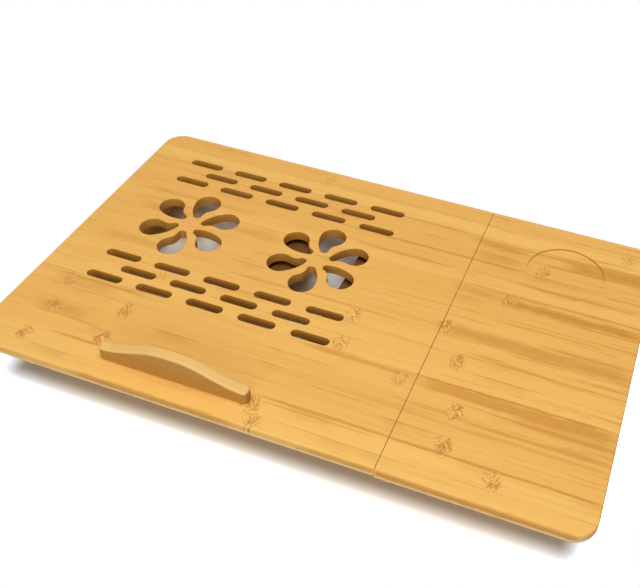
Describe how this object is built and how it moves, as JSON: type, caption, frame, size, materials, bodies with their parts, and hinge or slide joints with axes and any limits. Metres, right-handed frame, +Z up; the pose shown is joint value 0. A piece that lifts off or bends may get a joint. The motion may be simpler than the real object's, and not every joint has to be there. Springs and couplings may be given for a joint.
{
  "type": "folding laptop table",
  "caption": "Low folding bamboo laptop table: tilting vented panel with prop and rack, fixed panel with cup recess, drawer, stop bar and fold-away legs.",
  "frame": {"origin": "centre of the table's outline at the level of the surface it rests on, with the legs folded", "axes": "+X along the table towards the drawer end, +Y towards the back edge, +Z up"},
  "size_m": [0.55, 0.35, 0.085],
  "materials": {
    "bamboo_top": "lacquered laminated bamboo, satin",
    "bamboo_frame": "lacquered laminated bamboo, satin",
    "drawer_ply": "thin bamboo ply, oiled",
    "dowel_wood": "plain hardwood",
    "zinc_steel": "zinc-plated steel",
    "brass_plate": "brass-plated steel hinge",
    "pad_rubber": "soft black rubber"
  },
  "bodies": {
    "frame": {"back_rail": "bamboo_frame", "back_runner": "bamboo_frame", "fixed_panel": "bamboo_top", "frame_screws": "zinc_steel", "front_rail": "bamboo_frame", "front_runner": "bamboo_frame", "inner_rail": "bamboo_frame", "left_end_rail": "bamboo_frame", "leg_pivot_bolts": "zinc_steel", "leg_pivot_nuts": "zinc_steel", "leg_washers": "zinc_steel", "panel_dowels": "dowel_wood", "panel_screws": "zinc_steel", "rack_board": "bamboo_frame", "rail_hinge_screws": "brass_plate", "right_end_rail": "bamboo_frame", "runner_screws": "zinc_steel", "seam_batten": "bamboo_frame", "tilt_hinge_pins": "brass_plate", "tilt_hinge_rail_leaves": "brass_plate"},
    "panel": {"tilting_panel": "bamboo_top", "tilt_hinge_panel_leaves": "brass_plate", "prop_hinge_panel_leaves": "brass_plate", "prop_hinge_pins": "brass_plate", "panel_hinge_screws": "brass_plate"},
    "prop": {"prop_board": "bamboo_frame", "prop_hinge_prop_leaves": "brass_plate", "prop_hinge_screws": "brass_plate"},
    "stopper": {"stop_bar": "bamboo_top", "stop_bar_pegs": "dowel_wood"},
    "drawer": {"drawer_back": "bamboo_frame", "drawer_back_side": "bamboo_frame", "drawer_brads": "zinc_steel", "drawer_floor": "drawer_ply", "drawer_front": "bamboo_frame", "drawer_front_side": "bamboo_frame", "drawer_knob": "bamboo_frame", "drawer_knob_screw": "zinc_steel"},
    "left_legs": {"left_back_leg": "bamboo_frame", "left_foot_pads": "pad_rubber", "left_front_leg": "bamboo_frame", "left_leg_screws": "zinc_steel", "left_stretcher": "bamboo_frame"},
    "right_legs": {"right_back_leg": "bamboo_frame", "right_foot_pads": "pad_rubber", "right_front_leg": "bamboo_frame", "right_leg_screws": "zinc_steel", "right_stretcher": "bamboo_frame"}
  },
  "joints": [
    {"name": "panel_tilt", "type": "hinge", "parent": "frame", "child": "panel", "pos_m": [0, -0.1438, 0.0452], "axis": [1, 0, 0], "range_deg": [0, 30]},
    {"name": "prop_swing", "type": "hinge", "parent": "panel", "child": "prop", "pos_m": [-0.086, -0.0118, 0.0452], "axis": [-1, 0, 0], "range_deg": [0, 70]},
    {"name": "stop_bar_lift", "type": "slide", "parent": "panel", "child": "stopper", "axis": [0, 0, 1], "range_m": [0, 0.008]},
    {"name": "drawer_slide", "type": "slide", "parent": "frame", "child": "drawer", "axis": [1, 0, 0], "range_m": [0, 0.19]},
    {"name": "left_leg_fold", "type": "hinge", "parent": "frame", "child": "left_legs", "pos_m": [-0.2404, 0, 0.011], "axis": [0, 1, 0], "range_deg": [0, 90]},
    {"name": "right_leg_fold", "type": "hinge", "parent": "frame", "child": "right_legs", "pos_m": [0.2404, 0, 0.011], "axis": [0, -1, 0], "range_deg": [0, 90]}
  ],
  "couplings": [
    {"joint": "prop_swing", "follows": "panel_tilt", "ratio": 2.3333}
  ]
}
